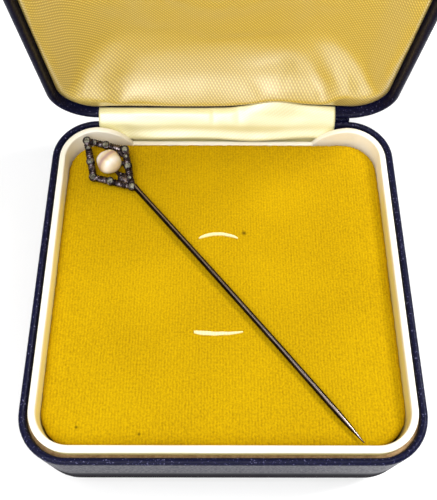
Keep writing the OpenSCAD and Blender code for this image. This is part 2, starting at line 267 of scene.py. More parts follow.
# Below the top edge and away from the back, #ecdc8c is painted reflection of the velvet's yellow
# light.
below_edge = add(ivory, "MapRange", {"interpolation_type": "SMOOTHSTEP"}, {
    "Value": (place, "Z"), "From Min": 20.9 * MM, "From Max": 19.6 * MM})
in_front = add(ivory, "MapRange", {"interpolation_type": "SMOOTHSTEP"}, {
    "Value": (place, "Y"), "From Min": 24 * MM, "From Max": 12 * MM})
painted_bounce_mask = add(ivory, "Math", {"operation": "MULTIPLY"}, {
    0: (below_edge, "Result"), 1: (in_front, "Result")})
ivory_with_painted_bounce = add(ivory, "Mix", {"data_type": "RGBA"}, {
    "Factor": (painted_bounce_mask, "Value"), 6: (tone, "Color"), 7: linear("#ecdc8c")})
uneven = add(ivory, "TexNoise", {}, {
    "Vector": (coords, "Object"), "Scale": cycles_per_metre(1.6), "Detail": 2.0})
ripple = add(ivory, "Bump", {}, {
    "Height": (uneven, "Fac"), "Strength": 0.25, "Distance": 0.04 * MM})
close(ivory, add(ivory, "BsdfPrincipled", {}, {
    "Base Color": (ivory_with_painted_bounce, "Result"), "Roughness": 0.34, "IOR": 1.5, "Normal": (ripple, "Normal")}))

# %% [markdown]
# ## Brown card for the shaded gap
# A brown strip sits between the wall and the collar. It is painted shade: a sheet that stands for
# the collar's outer face in shade at the bottom of the narrow gap. It is drawn as matt pulp board,
# so it is a little fibrous and its tone is broken every half millimetre or so.

# %% Finish the brown card
gap_shade_card = start("painted_gap_shade_brown")
coords = add(gap_shade_card, "TexCoord")
fibres = add(gap_shade_card, "TexNoise", {}, {
    "Vector": (coords, "Object"), "Scale": cycles_per_metre(0.5), "Detail": 3.0})
# The brown tone is painted shade: it stands for the collar's outer face in shade in the gap.
tone = add(gap_shade_card, "ValToRGB", {}, {"Fac": (fibres, "Fac")},
           [(0.35, "#8a6c48"), (0.65, "#a88a62")])
close(gap_shade_card, add(gap_shade_card, "BsdfPrincipled", {}, {
    "Base Color": (tone, "Color"), "Roughness": 0.9, "IOR": 1.5}))

# %% [markdown]
# ## Mustard velvet
# The pad is covered in short cotton velvet. The pile gives it its depth: it is dark where the
# tufts part and glows where they lean to the light. The tufts are about 0.36 mm apart, in faint
# rows of 0.52 mm that run from front to back, and a slow noise brushes the pile one way and the
# other. A brown mark lies beside the back slit and two small dark flecks lie in front.

# %% Finish the velvet
MARKS_MM = [(3.95, 8.7, 0.6), (-23.8, -26.8, 0.35), (-13.6, -27.9, 0.35)]
velvet = start("cotton_velvet_mustard")
coords = add(velvet, "TexCoord")
rows = add(velvet, "TexWave", {"bands_direction": "X"}, {
    "Vector": (coords, "Object"), "Scale": wave_scale(0.52), "Distortion": 2.2, "Detail": 2.0,
    "Detail Scale": 1.5})
tufts = add(velvet, "TexNoise", {}, {
    "Vector": (coords, "Object"), "Scale": cycles_per_metre(0.36), "Detail": 4.0,
    "Roughness": 0.65})
brushed = add(velvet, "TexNoise", {}, {
    "Vector": (coords, "Object"), "Scale": cycles_per_metre(14), "Detail": 2.0})
pile = add(velvet, "Math", {"operation": "MULTIPLY_ADD"}, {
    0: (rows, "Fac"), 1: 0.12, 2: (tufts, "Fac")})
pile_and_brush = add(velvet, "Math", {"operation": "MULTIPLY_ADD"}, {
    0: (brushed, "Fac"), 1: 0.22, 2: (pile, "Value")})
tone = add(velvet, "ValToRGB", {}, {"Fac": (pile_and_brush, "Value")},
           [(0.4, "#937100"), (0.68, "#b59100"), (0.96, "#caa500")])
soiled = (tone, "Color")
for x, y, r in MARKS_MM:
    near = add(velvet, "Mapping", {}, {
        "Vector": (coords, "Object"), "Location": (-x / r, -y / r, 0),
        "Scale": (1 / (r * MM), 1 / (r * MM), 0)})
    mark = add(velvet, "TexGradient", {"gradient_type": "SPHERICAL"}, {"Vector": (near, "Vector")})
    marked = add(velvet, "Mix", {"data_type": "RGBA"}, {
        "Factor": (mark, "Fac"), 6: soiled, 7: linear("#4a3600")})
    soiled = (marked, "Result")
nap = add(velvet, "Bump", {}, {
    "Height": (pile, "Value"), "Strength": 0.7, "Distance": 0.14 * MM})
close(velvet, add(velvet, "BsdfPrincipled", {}, {
    "Base Color": soiled, "Roughness": 0.92, "IOR": 1.45, "Specular IOR Level": 0.1,
    "Sheen Weight": 0.12, "Sheen Roughness": 0.4, "Sheen Tint": linear("#ffc814"),
    "Normal": (nap, "Normal")}))

# %% [markdown]
# ## Satins
# Two satins meet at the hinge: a plain cream one across it and a gold one, woven with a twill,
# in the lid. In satin most of the thread lies on top, so it shines: both have a strong, soft
# gloss from a high index, and a second one from a coat. The pattern follows the cloth's own flat
# cut, which is kept in a map called cut, in metres. A wave across the twill's lines breaks them
# into short floats. The real weave is too fine to show, so its lines are drawn 0.46 mm apart.

# %% Finish the satins
def satin(name, shade, body, light, pitch_mm, lean, depth_mm):
    """A satin whose lines follow the cloth's flat cut, pitch_mm apart and turned by lean."""
    made = start(name)
    cut = add(made, "UVMap", {"uv_map": "cut"})
    turned = add(made, "Mapping", {}, {
        "Vector": (cut, "UV"), "Rotation": (0, 0, math.radians(lean))})
    twill = add(made, "TexWave", {"bands_direction": "X"}, {
        "Vector": (turned, "Vector"), "Scale": wave_scale(pitch_mm), "Distortion": 0.3,
        "Detail": 1.0})
    thread = add(made, "TexWave", {"bands_direction": "Y"}, {
        "Vector": (turned, "Vector"), "Scale": wave_scale(pitch_mm), "Distortion": 0.6})
    float_length = add(made, "Math", {"operation": "MULTIPLY_ADD"}, {
        0: (thread, "Fac"), 1: 0.6, 2: 0.4})
    weave = add(made, "Math", {"operation": "MULTIPLY"}, {
        0: (twill, "Fac"), 1: (float_length, "Value")})
    tone = add(made, "ValToRGB", {}, {"Fac": (weave, "Value")},
               [(0.0, shade), (0.4, body), (0.9, light)])
    relief = add(made, "Bump", {}, {
        "Height": (weave, "Value"), "Strength": 0.5, "Distance": depth_mm * MM})
    return close(made, add(made, "BsdfPrincipled", {}, {
        "Base Color": (tone, "Color"), "Roughness": 0.42, "IOR": 1.75,
        "Specular IOR Level": 1.0, "Coat Weight": 1.0, "Coat Roughness": 0.36,
        "Coat IOR": 1.6, "Sheen Weight": 0.1, "Sheen Roughness": 0.5,
        "Normal": (relief, "Normal")}))


lining_satin = satin("rayon_satin_twilled_gold", "#b49321", "#d3b236", "#f4e27e", 0.46, 42, 0.016)
hinge_satin = satin("rayon_satin_cream", "#ede3a6", "#f1eab2", "#f4f0c0", 0.42, 62, 0.006)

# %% [markdown]
# ## Cotton tape
# The two slits that hold a pin in the pad are edged with a cream cotton tape. It is matt, with
# threads about 0.25 mm apart.

# %% Finish the tape
tape_cotton = start("cotton_tape_cream")
coords = add(tape_cotton, "TexCoord")
threads = add(tape_cotton, "TexWave", {"bands_direction": "X"}, {
    "Vector": (coords, "Object"), "Scale": wave_scale(0.25), "Distortion": 1.0})
tone = add(tape_cotton, "ValToRGB", {}, {"Fac": (threads, "Fac")},
           [(0.1, "#e6cf7c"), (0.8, "#fbf0bd")])
cord_relief = add(tape_cotton, "Bump", {}, {
    "Height": (threads, "Fac"), "Strength": 0.5, "Distance": 0.03 * MM})
close(tape_cotton, add(tape_cotton, "BsdfPrincipled", {}, {
    "Base Color": (tone, "Color"), "Roughness": 0.85, "IOR": 1.45,
    "Normal": (cord_relief, "Normal")}))

# %% [markdown]
# ## Blackened silver
# The head is cast silver gone black: a dark skin of sulphide, with warmer, brighter metal where
# it has been touched. A metal's colour is its reflection, so one noise of about 0.9 mm changes
# both: the colour, and how dull the skin is.

# %% Finish the silver
silver = start("silver_blackened_cast")
coords = add(silver, "TexCoord")
tarnish = add(silver, "TexNoise", {}, {
    "Vector": (coords, "Object"), "Scale": cycles_per_metre(0.9), "Detail": 4.0,
    "Roughness": 0.6})
tone = add(silver, "ValToRGB", {}, {"Fac": (tarnish, "Fac")},
           [(0.36, "#1c1617"), (0.52, "#463c3f"), (0.68, "#9c9094")])
dull = add(silver, "MapRange", {}, {
    "Value": (tarnish, "Fac"), "From Min": 0.35, "From Max": 0.65, "To Min": 0.42,
    "To Max": 0.2})
pits = add(silver, "Bump", {}, {
    "Height": (tarnish, "Fac"), "Strength": 0.5, "Distance": 0.05 * MM})
close(silver, add(silver, "BsdfPrincipled", {}, {
    "Base Color": (tone, "Color"), "Metallic": 1.0, "Roughness": (dull, "Result"),
    "Normal": (pits, "Normal")}))

# %% [markdown]
# ## Browned steel
# The long pin is plain steel wire gone brown, with fine lines along it from the drawing. A bright
# line along its top is a painted highlight: the lights' shine along the wire. A map called cut
# follows the wire, in metres, and the lines are a noise stretched along it. A map called side runs
# from 0 on the top line to 1 underneath.

# %% Finish the steel
steel = start("steel_drawn_browned")
cut = add(steel, "UVMap", {"uv_map": "cut"})
stretched = add(steel, "Mapping", {}, {"Vector": (cut, "UV"), "Scale": (1.0, 0.03, 1.0)})
drawn = add(steel, "TexNoise", {}, {
    "Vector": (stretched, "Vector"), "Scale": cycles_per_metre(0.25), "Detail": 2.0})
browning = add(steel, "TexNoise", {}, {
    "Vector": (cut, "UV"), "Scale": cycles_per_metre(5), "Detail": 3.0})
brown = add(steel, "ValToRGB", {}, {"Fac": (browning, "Fac")},
            [(0.3, "#150f0b"), (0.5, "#261e19"), (0.7, "#3a302a")])
side = add(steel, "UVMap", {"uv_map": "side"})
across = add(steel, "SeparateXYZ", {}, {"Vector": (side, "UV")})
# Painted highlight: the top of the wire is coloured bright (#93857f) for the shine of the lights
# along it.
painted_top_highlight = add(steel, "MapRange", {"interpolation_type": "SMOOTHSTEP"}, {
    "Value": (across, "X"), "From Min": 0.12, "From Max": 0.02})
tone = add(steel, "Mix", {"data_type": "RGBA"}, {
    "Factor": (painted_top_highlight, "Result"), 6: (brown, "Color"), 7: linear("#93857f")})
lines = add(steel, "Bump", {}, {
    "Height": (drawn, "Fac"), "Strength": 0.3, "Distance": 0.02 * MM})
close(steel, add(steel, "BsdfPrincipled", {}, {
    "Base Color": (tone, "Result"), "Metallic": 1.0, "Roughness": 0.24,
    "Normal": (lines, "Normal")}))

# %% [markdown]
# ## Nacre
# The pearl is natural and a little square. Nacre is layers of clear plates, so light goes a
# little way in and comes back cream and rose, under a soft, wide gloss. One wave of 2.8 mm,
# turned across the pearl, gives it a single dusky rose band and a white crest beside it: the dusky
# band is painted shade along the shallow groove and the white crest a painted highlight; the cream
# between them is the pearl's own colour.

# %% Finish the pearl
nacre = start("pearl_nacre_cream_rose")
coords = add(nacre, "TexCoord")
turned = add(nacre, "Mapping", {}, {
    "Vector": (coords, "Object"), "Location": (31.35 * MM, 0, 0),
    "Rotation": (0, 0, math.radians(45))})
painted_shade_highlight_band = add(nacre, "TexWave", {"bands_direction": "X"}, {
    "Vector": (turned, "Vector"), "Scale": wave_scale(2.8), "Distortion": 0.9, "Detail": 1.0,
    "Detail Scale": 0.6})
# b08f88 is painted shade along the groove and #f2e9de a painted highlight; the creams between are
# the pearl's own.
tone = add(nacre, "ValToRGB", {}, {"Fac": (painted_shade_highlight_band, "Fac")},
           [(0.0, "#b08f88"), (0.22, "#d6be98"), (0.6, "#e1d2b4"), (1.0, "#f2e9de")])
growth = add(nacre, "TexNoise", {}, {
    "Vector": (coords, "Object"), "Scale": cycles_per_metre(1.1), "Detail": 2.0})
skin = add(nacre, "Bump", {}, {
    "Height": (growth, "Fac"), "Strength": 0.2, "Distance": 0.05 * MM})
close(nacre, add(nacre, "BsdfPrincipled", {}, {
    "Base Color": (tone, "Color"), "Roughness": 0.3, "IOR": 1.6,
    "Subsurface Weight": 0.2, "Subsurface Radius": (1.0, 0.7, 0.5),
    "Subsurface Scale": 0.5 * MM, "Coat Weight": 0.6, "Coat Roughness": 0.12,
    "Coat IOR": 1.5, "Normal": (skin, "Normal")}))

# %% [markdown]
# ## Foiled glass
# The stones are small, old and cut by hand, with foil behind them. They look grey, with sharp
# facets, more than clear, so only a quarter of the light goes through and the foil is drawn as
# a mottle of grey.

# %% Finish the stones
paste = start("glass_paste_foiled")
coords = add(paste, "TexCoord")
foil = add(paste, "TexNoise", {}, {
    "Vector": (coords, "Object"), "Scale": cycles_per_metre(0.8), "Detail": 2.0})
tone = add(paste, "ValToRGB", {}, {"Fac": (foil, "Fac")},
           [(0.35, "#4d4a40"), (0.62, "#adae9c")])
close(paste, add(paste, "BsdfPrincipled", {}, {
    "Base Color": (tone, "Color"), "Roughness": 0.06, "IOR": 1.55,
    "Transmission Weight": 0.25, "Coat Weight": 0.5, "Coat Roughness": 0.03}))
print("finishes in all:", len(bpy.data.materials))

# %% [markdown]
# ## Making pieces
# Each new piece is made in a bmesh and then given a name, a finish and the body that carries
# it. The pieces of the lid are easiest to draw in the shut box and then to swing open about the
# hinge line, as the lid itself is.

# %% Helpers for the pieces
HINGE = Vector((0, 33.05 * MM, 20.1 * MM))
LID_OPEN = math.radians(81.3)
swing = (Matrix.Translation(HINGE) @ Matrix.Rotation(-LID_OPEN, 4, "X")
         @ Matrix.Translation(-HINGE))


def piece(bm, name, material, body, smooth=True):
    """Turns a bmesh into a named piece with its finish, riding on a body."""
    mesh = bpy.data.meshes.new(name)
    bm.to_mesh(mesh)
    bm.free()
    made = bpy.data.objects.new(name, mesh)
    made.data.materials.append(material)
    bpy.context.collection.objects.link(made)
    for face in mesh.polygons:
        face.use_smooth = smooth
    if body:
        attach(made, body)
    print(name, "faces:", len(mesh.polygons))
    return made


def merged_copy(node_name):
    """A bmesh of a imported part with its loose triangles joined."""
    bm = bmesh.new()
    bm.from_mesh(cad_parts[node_name].data)
    bmesh.ops.remove_doubles(bm, verts=bm.verts, dist=0.001 * MM)
    return bm


def dress(node_name, material):
    """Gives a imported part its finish."""
    for material_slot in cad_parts[node_name].material_slots:
        material_slot.material = material


print("the lid stands open by, degrees:", round(math.degrees(LID_OPEN), 1))

# %% [markdown]
# ## The shells and the stones
# The two shells and the cut stones are right as they come. They only need their finishes.

# %% Dress the shells and the stones
for name in ("base_shell", "lid_shell"):
    dress(name, leatherette)
stone_names = [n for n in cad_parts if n.startswith("stone_")]
for name in stone_names:
    dress(name, paste)
print("stones:", len(stone_names))

# %% [markdown]
# ## The collar
# The real collar is thick ivory card with its cut edges rubbed round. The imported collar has
# sharp edges, which catch no light. A merged copy gets its flat faces joined and then a narrow
# rounded bevel on every sharp edge, so that a soft bright line runs along the top.

# %% Round the collar's edges
bm = merged_copy("collar")
bmesh.ops.dissolve_limit(bm, angle_limit=math.radians(1), verts=bm.verts, edges=bm.edges)
sharp = [e for e in bm.edges if len(e.link_faces) == 2 and e.calc_face_angle() > math.radians(40)]
bmesh.ops.bevel(bm, geom=sharp, offset=0.3 * MM, offset_type="OFFSET", segments=3, profile=0.5,
                affect="EDGES", material=-1)
collar = piece(bm, "ivory_collar", ivory, "box")
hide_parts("collar")

# %% [markdown]
# ## The strip of painted shade in the gap
# Between the wall and the collar, along the front and both sides, lies a strip of brown card: a
# sheet of painted shade, standing for the collar's shaded outer face. Only its upper edge shows, at
# the bottom of the narrow gap. A function draws a ring of points with round corners, and the strip
# is the face between two such rings, without its back run, given a height.

# %% Make the strip of painted gap shade
def rounded_ring(bm, half_x, low_y, high_y, r, z, steps=10):
    """Adds a closed ring of points round a rectangle with rounded corners."""
    points = []
    for k, (cx, cy) in enumerate([(half_x - r, high_y - r), (r - half_x, high_y - r),
                                  (r - half_x, low_y + r), (half_x - r, low_y + r)]):
        for i in range(steps + 1):
            turn = math.pi / 2 * (k + i / steps)
            points.append(bm.verts.new((cx + r * math.cos(turn), cy + r * math.sin(turn), z)))
    return [bm.edges.new(pair) for pair in zip(points, points[1:] + points[:1])]


bm = bmesh.new()
strip_top, strip_high = 18.7 * MM, 3 * MM
outer = rounded_ring(bm, 31.76 * MM, -31.76 * MM, 31.76 * MM, 7.16 * MM, strip_top)
inner = rounded_ring(bm, 31.29 * MM, -31.29 * MM, 30.64 * MM, 7.04 * MM, strip_top)
bmesh.ops.bridge_loops(bm, edges=outer + inner)
behind = [v for v in bm.verts if v.co.y > 24 * MM]
bmesh.ops.delete(bm, geom=behind, context="VERTS")
skirt = bmesh.ops.extrude_face_region(bm, geom=bm.faces[:])["geom"]
bmesh.ops.translate(bm, vec=(0, 0, -strip_high),
                    verts=[g for g in skirt if isinstance(g, bmesh.types.BMVert)])
bmesh.ops.recalc_face_normals(bm, faces=bm.faces)
piece(bm, "painted_gap_shade_strip", gap_shade_card, "box", smooth=False)

# %% [markdown]
# ## The velvet pad
# The pad is board and wadding with velvet drawn over it. Its top is nearly flat, its edges roll
# over softly, and its outline isn't quite straight, because the pile stands out unevenly. A
# merged copy of the plain block is remeshed into small even squares, which soft shapes need,
# and its points are then moved: a low crown, uneven pile, sides that wander a little, and a
# slight swelling below the top edge. The board inside keeps its shape, so there is nothing to
# swell here, and a cloth simulation isn't used.

# %% Shape the velvet pad
bm = merged_copy("pad")
pad_start = bpy.data.meshes.new("pad_start")
bm.to_mesh(pad_start)
bm.free()
block = bpy.data.objects.new("pad_start", pad_start)
bpy.context.collection.objects.link(block)
remesh = block.modifiers.new("remesh", "REMESH")
remesh.mode = "VOXEL"
remesh.voxel_size = 0.42 * MM
evaluated = block.evaluated_get(bpy.context.evaluated_depsgraph_get())
bm = bmesh.new()
bm.from_mesh(evaluated.to_mesh())
bpy.data.objects.remove(block)
low, high = (Vector(c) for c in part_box("pad"))
top_z = high.z
soft_depth = 3 * MM
for v in bm.verts:
    x, y, z = v.co
    near_side = min(x - low.x, high.x - x, y - low.y, high.y - y)
    if z > top_z - soft_depth:
        upness = min(1, (z - top_z + soft_depth) / (2 * MM))
        crown = min(1, near_side / (16 * MM))
        v.co.z += 0.08 * MM * math.sin(crown * math.pi / 2) * upness
        pile_push = noise.noise(Vector((x, y, z)) * cycles_per_metre(0.8)) * 0.07 * MM
        v.co += v.normal * pile_push * (1.6 if near_side < 1.2 * MM else 0.6)
        wander = noise.noise(Vector((x, y, 0)) * cycles_per_metre(9)) * 0.12 * MM
        if near_side < 2 * MM:
            v.co.x += wander * (1 if x < 0 else -1)
        if 0.5 * MM < top_z - z < 2.6 * MM and near_side < 0.6 * MM:
            v.co.xy += v.normal.xy.normalized() * 0.14 * MM
pad = piece(bm, "velvet_pad", velvet, "box")
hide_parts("pad")

# %% [markdown]
# ## The slit tapes
# A narrow cream tape lines the back edge of each slit, its fold standing just out of the pile
# as a thin pale crescent. Each tape follows the bow of its slit: a cube is drawn out long and
# thin, divided along its length, rounded at the top, tapered, bent and made a little uneven.

# %% Make the slit tapes
def tape_edge(node_name, bow, thick, taper):
    """A folded tape in the place of a packed one, bent by bow and thinner to the right."""
    low, high = (Vector(c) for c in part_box(node_name))
    length = high.x - low.x
    bm = bmesh.new()
    bmesh.ops.create_cube(bm, size=1)
    bmesh.ops.scale(bm, vec=(length, thick, high.z - low.z), verts=bm.verts)
    along = [e for e in bm.edges if abs(e.verts[0].co.x - e.verts[1].co.x) > length / 2]
    bmesh.ops.subdivide_edges(bm, edges=along, cuts=28, use_grid_fill=True)
    rims = [e for e in bm.edges if min(v.co.z for v in e.verts) > 0
            and abs(e.verts[0].co.y - e.verts[1].co.y) < thick / 2]
    bmesh.ops.bevel(bm, geom=rims, offset=0.2 * MM, offset_type="OFFSET", segments=3,
                    profile=0.5, affect="EDGES", material=-1)
    for v in bm.verts:
        share = 2 * v.co.x / length
        v.co.y *= (1 - taper * (share + 1) / 2) * math.sqrt(1 - 0.8 * share ** 4)
        v.co.y += bow * (1 - share * share)
        if v.co.z > 0:
            uneven = noise.noise(Vector((v.co.x, bow, 0)) * cycles_per_metre(1.2))
            v.co.z += 0.3 * MM + 0.05 * MM * uneven - 0.15 * MM * share ** 4
            v.co.y += 0.05 * MM * uneven
    centre = Vector(((low.x + high.x) / 2, low.y + thick / 2, (low.z + high.z) / 2))
    bmesh.ops.translate(bm, vec=centre, verts=bm.verts)
    tape = piece(bm, "tape_of_" + node_name, tape_cotton, "box")
    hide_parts(node_name)


tape_edge("slit_tape_back", 0.85 * MM, 0.66 * MM, 0.2)
tape_edge("slit_tape_front", -0.3 * MM, 0.9 * MM, 0.55)

# %% [markdown]
# ## The satin across the hinge
# A strip of cream satin hides the hinge. It comes up behind the collar, crosses both rims and
# goes in under the lining. Seen from the side that is a path, given here as depth and height in
# millimetres. A few helpers find a place along such a path, draw a narrow tuck, and say where
# the lining's edge, which the strip meets, is drawn up from the rim.

# %% Draw the path over the hinge
HINGE_PATH = [(31.0, 15.2), (31.0, 16.4), (31.1, 17.6), (31.35, 19.0), (31.65, 20.0),
              (32.1, 20.6), (32.7, 21.15), (33.2, 21.6), (33.7, 21.85), (34.75, 22.0)]


def path_runs(path):
    """The lengths of the straight runs between a path's points."""
    return [(Vector(b) - Vector(a)).length for a, b in zip(path, path[1:])]


def along_path(path, share):
    """The point at a share of a path's length, by straight runs between its points."""
    runs = path_runs(path)
    left = share * sum(runs)
    for a, b, run in zip(path, path[1:], runs):
        if left <= run:
            return Vector(a).lerp(Vector(b), left / run)
        left -= run
    return Vector(path[-1])


def tuck(x, at, width):
    """A narrow pinch across the cloth, 1 at its middle."""
    return math.exp(-((x - at) / width) ** 2)


def lifted(x):
    """How far the lining's edge is drawn up from the rim, in mm: most a little right of middle."""
    return 1.9 * tuck(x, 10.5 * MM, 6 * MM) + 0.5 * tuck(x, 20 * MM, 4 * MM)


path_len = sum(path_runs(HINGE_PATH)) * MM
print("path over the hinge, mm:", round(path_len / MM, 1))

# %% [markdown]
# The strip is a grid that is carried over the rims: each row of points takes its place on the
# path, and smoothing then bends it softly. Two small tucks near the middle pinch it, its upper
# edge follows the lining's, and above its hidden lower edge it sags into a low, wavy roll. It
# lies tight against the card, so moving its points does the work of a simulation. It is drawn in
# the open pose and rides on neither body.

# %% Make the hinge satin
TUCKS = [(0.9, -0.6 * MM, 0.45 * MM), (0.8, 4.4 * MM, 0.8 * MM)]
cloth_w = 46.6 * MM
cloth_left = 1.1 * MM
bm = bmesh.new()
bmesh.ops.create_grid(bm, x_segments=116, y_segments=30, size=0.5, calc_uvs=True)
cut_map = bm.loops.layers.uv.new("cut")
for face in bm.faces:
    for loop in face.loops:
        loop[cut_map].uv = (loop.vert.co.x * cloth_w, loop.vert.co.y * path_len)
for v in bm.verts:
    x = v.co.x * cloth_w
    share = v.co.y + 0.5
    spot = along_path(HINGE_PATH, share) * MM
    soft = noise.noise(Vector((x * 90, share * 2.5, 3.0)))
    fine_fold = noise.noise(Vector((x * 260, share * 3, 8.0)))
    free = math.sin(math.pi * share)
    pinch = sum(deep * tuck(x, at, width) for deep, at, width in TUCKS)
    pinched = max(0, share - 0.45) * min(1, max(0, (1 - share) / 0.2))
    lift = (0.26 * soft + 0.12 * fine_fold) * free - pinch * pinched
    crest = (lifted(x - cloth_left) - 0.3) * max(0, (share - 0.8) / 0.2)
    roll_at = 0.28 + 0.07 * noise.noise(Vector((x * 75, 0, 9)))
    roll = (1.0 + 0.6 * noise.noise(Vector((x * 70, 0, 5)))) * tuck(share, roll_at, 0.09)
    v.co = Vector((x - cloth_left, spot.x - (0.4 * lift - 0.1 * crest + roll) * MM,
                   spot.y + (lift + crest) * MM))
for _ in range(3):
    inner = [v for v in bm.verts if not v.is_boundary]
    bmesh.ops.smooth_vert(bm, verts=inner, factor=0.5, use_axis_x=False, use_axis_y=True,
                          use_axis_z=True)
bmesh.ops.recalc_face_normals(bm, faces=bm.faces)
hinge_cloth = piece(bm, "hinge_satin", hinge_satin, None)
thicken = hinge_cloth.modifiers.new("thickness", "SOLIDIFY")
thicken.thickness = 0.12 * MM
thicken.offset = -1
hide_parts("hinge_cloth_base", "hinge_cloth_lid")
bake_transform(hinge_cloth)

# %% [markdown]
# ## The spine
# Outside, one piece of leatherette runs from the base over the hinge to the lid, and the box
# opens by folding it. It is drawn as a strip against the back of the base that turns at the
# hinge line and runs on under the lid's back wall. It is a little wider than the satin, because
# the photograph shows no light between them and the rims.

# %% Make the spine
SPINE_PATH = [(33.08, 14.6), (33.1, 18.6), (33.2, 19.5), (33.45, 19.95), (34.3, 20.1),
              (38.4, 20.58)]
spine_w = 49.4 * MM
spine_x = 0.6 * MM
bm = bmesh.new()
bmesh.ops.create_grid(bm, x_segments=60, y_segments=24, size=0.5)
for v in bm.verts:
    spot = along_path(SPINE_PATH, v.co.y + 0.5) * MM
    v.co = Vector((v.co.x * spine_w + spine_x, spot.x, spot.y))
for _ in range(2):
    inner = [v for v in bm.verts if not v.is_boundary]
    bmesh.ops.smooth_vert(bm, verts=inner, factor=0.5, use_axis_y=True, use_axis_z=True)
bmesh.ops.recalc_face_normals(bm, faces=bm.faces)
spine = piece(bm, "leatherette_spine", leatherette, None)
thicken = spine.modifiers.new("thickness", "SOLIDIFY")
thicken.thickness = 0.15 * MM
thicken.offset = 0
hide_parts("hinge_fold")
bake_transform(spine)

# %% [markdown]
# ## The lid's satin lining
# The lining is gold satin drawn over thin wadding. Its edge is turned over just inside the rim,
# its sides slope in and its middle is slightly crowned. Where two sides meet, the cloth is
# gathered into one ridge that runs in from the corner. Its depth at a point comes from how far
# the point lies inside the edge. Measured to a true square, that gives sharp mitres, and a sum
# of high powers rounds them. A fold lies beside each mitre, higher at the right.

# %% Work out the lining's form
mouth_half, mouth_r, mouth_z = 31.05 * MM, 6.45 * MM, 22.0 * MM
hollow_depth, side_run = 8.9 * MM, 20 * MM
MITRE_POWER, SLOPE_POWER = 8, 2.4
crown_high, crown_reach = 2.0 * MM, 12 * MM
fold_beside, fold_width = 2.6 * MM, 3.2 * MM
fold_from_corner, fold_reach = 8.5 * MM, 6.5 * MM


def to_round_square(p, half, r):
    """Moves a point of a square of the same half width so that the outline gets round corners."""
    reach = max(abs(p.x), abs(p.y))
    if reach < 1e-9:
        return p.copy()
    rim = p * (half / reach)
    core = half - r
    over = Vector((max(0, abs(rim.x) - core), max(0, abs(rim.y) - core)))
    if over.x > 0 and over.y > 0:
        turn = math.atan2(over.y, over.x)
        rim = Vector((math.copysign(core + r * math.cos(turn), rim.x),
                      math.copysign(core + r * math.sin(turn), rim.y)))
    return rim * (reach / half)


def inside_by(p, half, r):
    """How far a point lies inside a rounded square."""
    dx, dy = abs(p.x) - (half - r), abs(p.y) - (half - r)
    out = Vector((max(dx, 0), max(dy, 0))).length + min(max(dx, dy), 0)
    return r - out


def lining_depth(p):
    """Depth of the lining below its mouth, with a mitre and a soft fold in from each corner."""
    from_middle = (abs(p.x) ** MITRE_POWER + abs(p.y) ** MITRE_POWER) ** (1 / MITRE_POWER)
    share = min(1, max(0, (mouth_half - from_middle) / side_run))
    corner_share = min(1, max(0, inside_by(p, mouth_half, mouth_r)) / (5 * MM))
    slope = 1 - (1 - share) ** SLOPE_POWER
    depth = hollow_depth * slope * math.sin(corner_share * math.pi / 2)
    depth -= crown_high * math.exp(-(p.length / crown_reach) ** 2)
    across = (abs(p.x) - abs(p.y)) / math.sqrt(2)
    from_corner = (Vector((mouth_half, mouth_half)) - Vector((abs(p.x), abs(p.y)))).length
    fold_high = 2.5 if p.x > 0 else 1.3
    fold = fold_high * MM * tuck(across, -fold_beside, fold_width)
    return depth - fold * tuck(from_corner, fold_from_corner, fold_reach)


print("lining depth at the middle, mm:", round(lining_depth(Vector((0, 0))) / MM, 2))

# %% [markdown]
# The satin is a square grid, drawn in the shut box. Its plan is squeezed to a rounded square,
# its edge is drawn up where the rim shows it, and a slow noise keeps it from lying too even.
# The cut map is written once the shape is made, so that the twill stays straight.

# %% Draw the lining's satin
SEGMENTS = 120
bm = bmesh.new()
bmesh.ops.create_grid(bm, x_segments=SEGMENTS, y_segments=SEGMENTS, size=mouth_half)
for v in bm.verts:
    flat = to_round_square(v.co.xy, mouth_half, mouth_r)
    waver = 0.4 * MM * noise.noise(Vector((flat.x, flat.y, 0)) * 90)
    depth = max(0, lining_depth(flat))
    flat.y -= lifted(flat.x) * MM * max(0, flat.y / mouth_half) ** 12
    v.co = Vector((flat.x, flat.y, mouth_z + depth + waver))
cut_map = bm.loops.layers.uv.new("cut")
for face in bm.faces:
    for loop in face.loops:
        loop[cut_map].uv = loop.vert.co.xy
print("points in the satin:", len(bm.verts))

# %% [markdown]
# Satin over wadding never lies perfectly even. A cloth simulation finds the small pulls and
# wrinkles that it would take: the sheet gets 1.5% more cloth than its shape needs, its edge is
# held, and it is let go for 16 steps without weight. Cloth behaves best at about a metre's size,
# so the sheet is enlarged 20 times for it. Each move is then eased off so that it never reaches
# 0.6 mm, which keeps the lining in its place.

# %% Let the satin settle
ENLARGED = 20
LARGEST_MOVE = 0.6 * MM
STEPS = 16


def settled(bm):
    """Where each point of the sheet lies after a short cloth simulation."""
    mesh = bpy.data.meshes.new("satin_at_rest")
    bm.to_mesh(mesh)
    mesh.transform(Matrix.Scale(ENLARGED, 4))
    sheet = bpy.data.objects.new("satin_at_rest", mesh)
    bpy.context.collection.objects.link(sheet)
    held = sheet.vertex_groups.new(name="held")
    held.add([v.index for v in bm.verts if v.is_boundary], 1.0, "ADD")
    cloth = sheet.modifiers.new("cloth", "CLOTH")
    cloth.settings.vertex_group_mass = "held"
    cloth.settings.quality = 6
    cloth.settings.mass = 0.3
    cloth.settings.shrink_min = -0.015
    cloth.settings.bending_stiffness = 40
    cloth.settings.effector_weights.gravity = 0
    cloth.collision_settings.use_collision = False
    cloth.point_cache.frame_start = 1
    cloth.point_cache.frame_end = STEPS
    for step in range(1, STEPS + 1):
        bpy.context.scene.frame_set(step)
    after = sheet.evaluated_get(bpy.context.evaluated_depsgraph_get()).to_mesh()
    places = [v.co / ENLARGED for v in after.vertices]
    bpy.data.objects.remove(sheet)
    bpy.context.scene.frame_set(1)
    return places


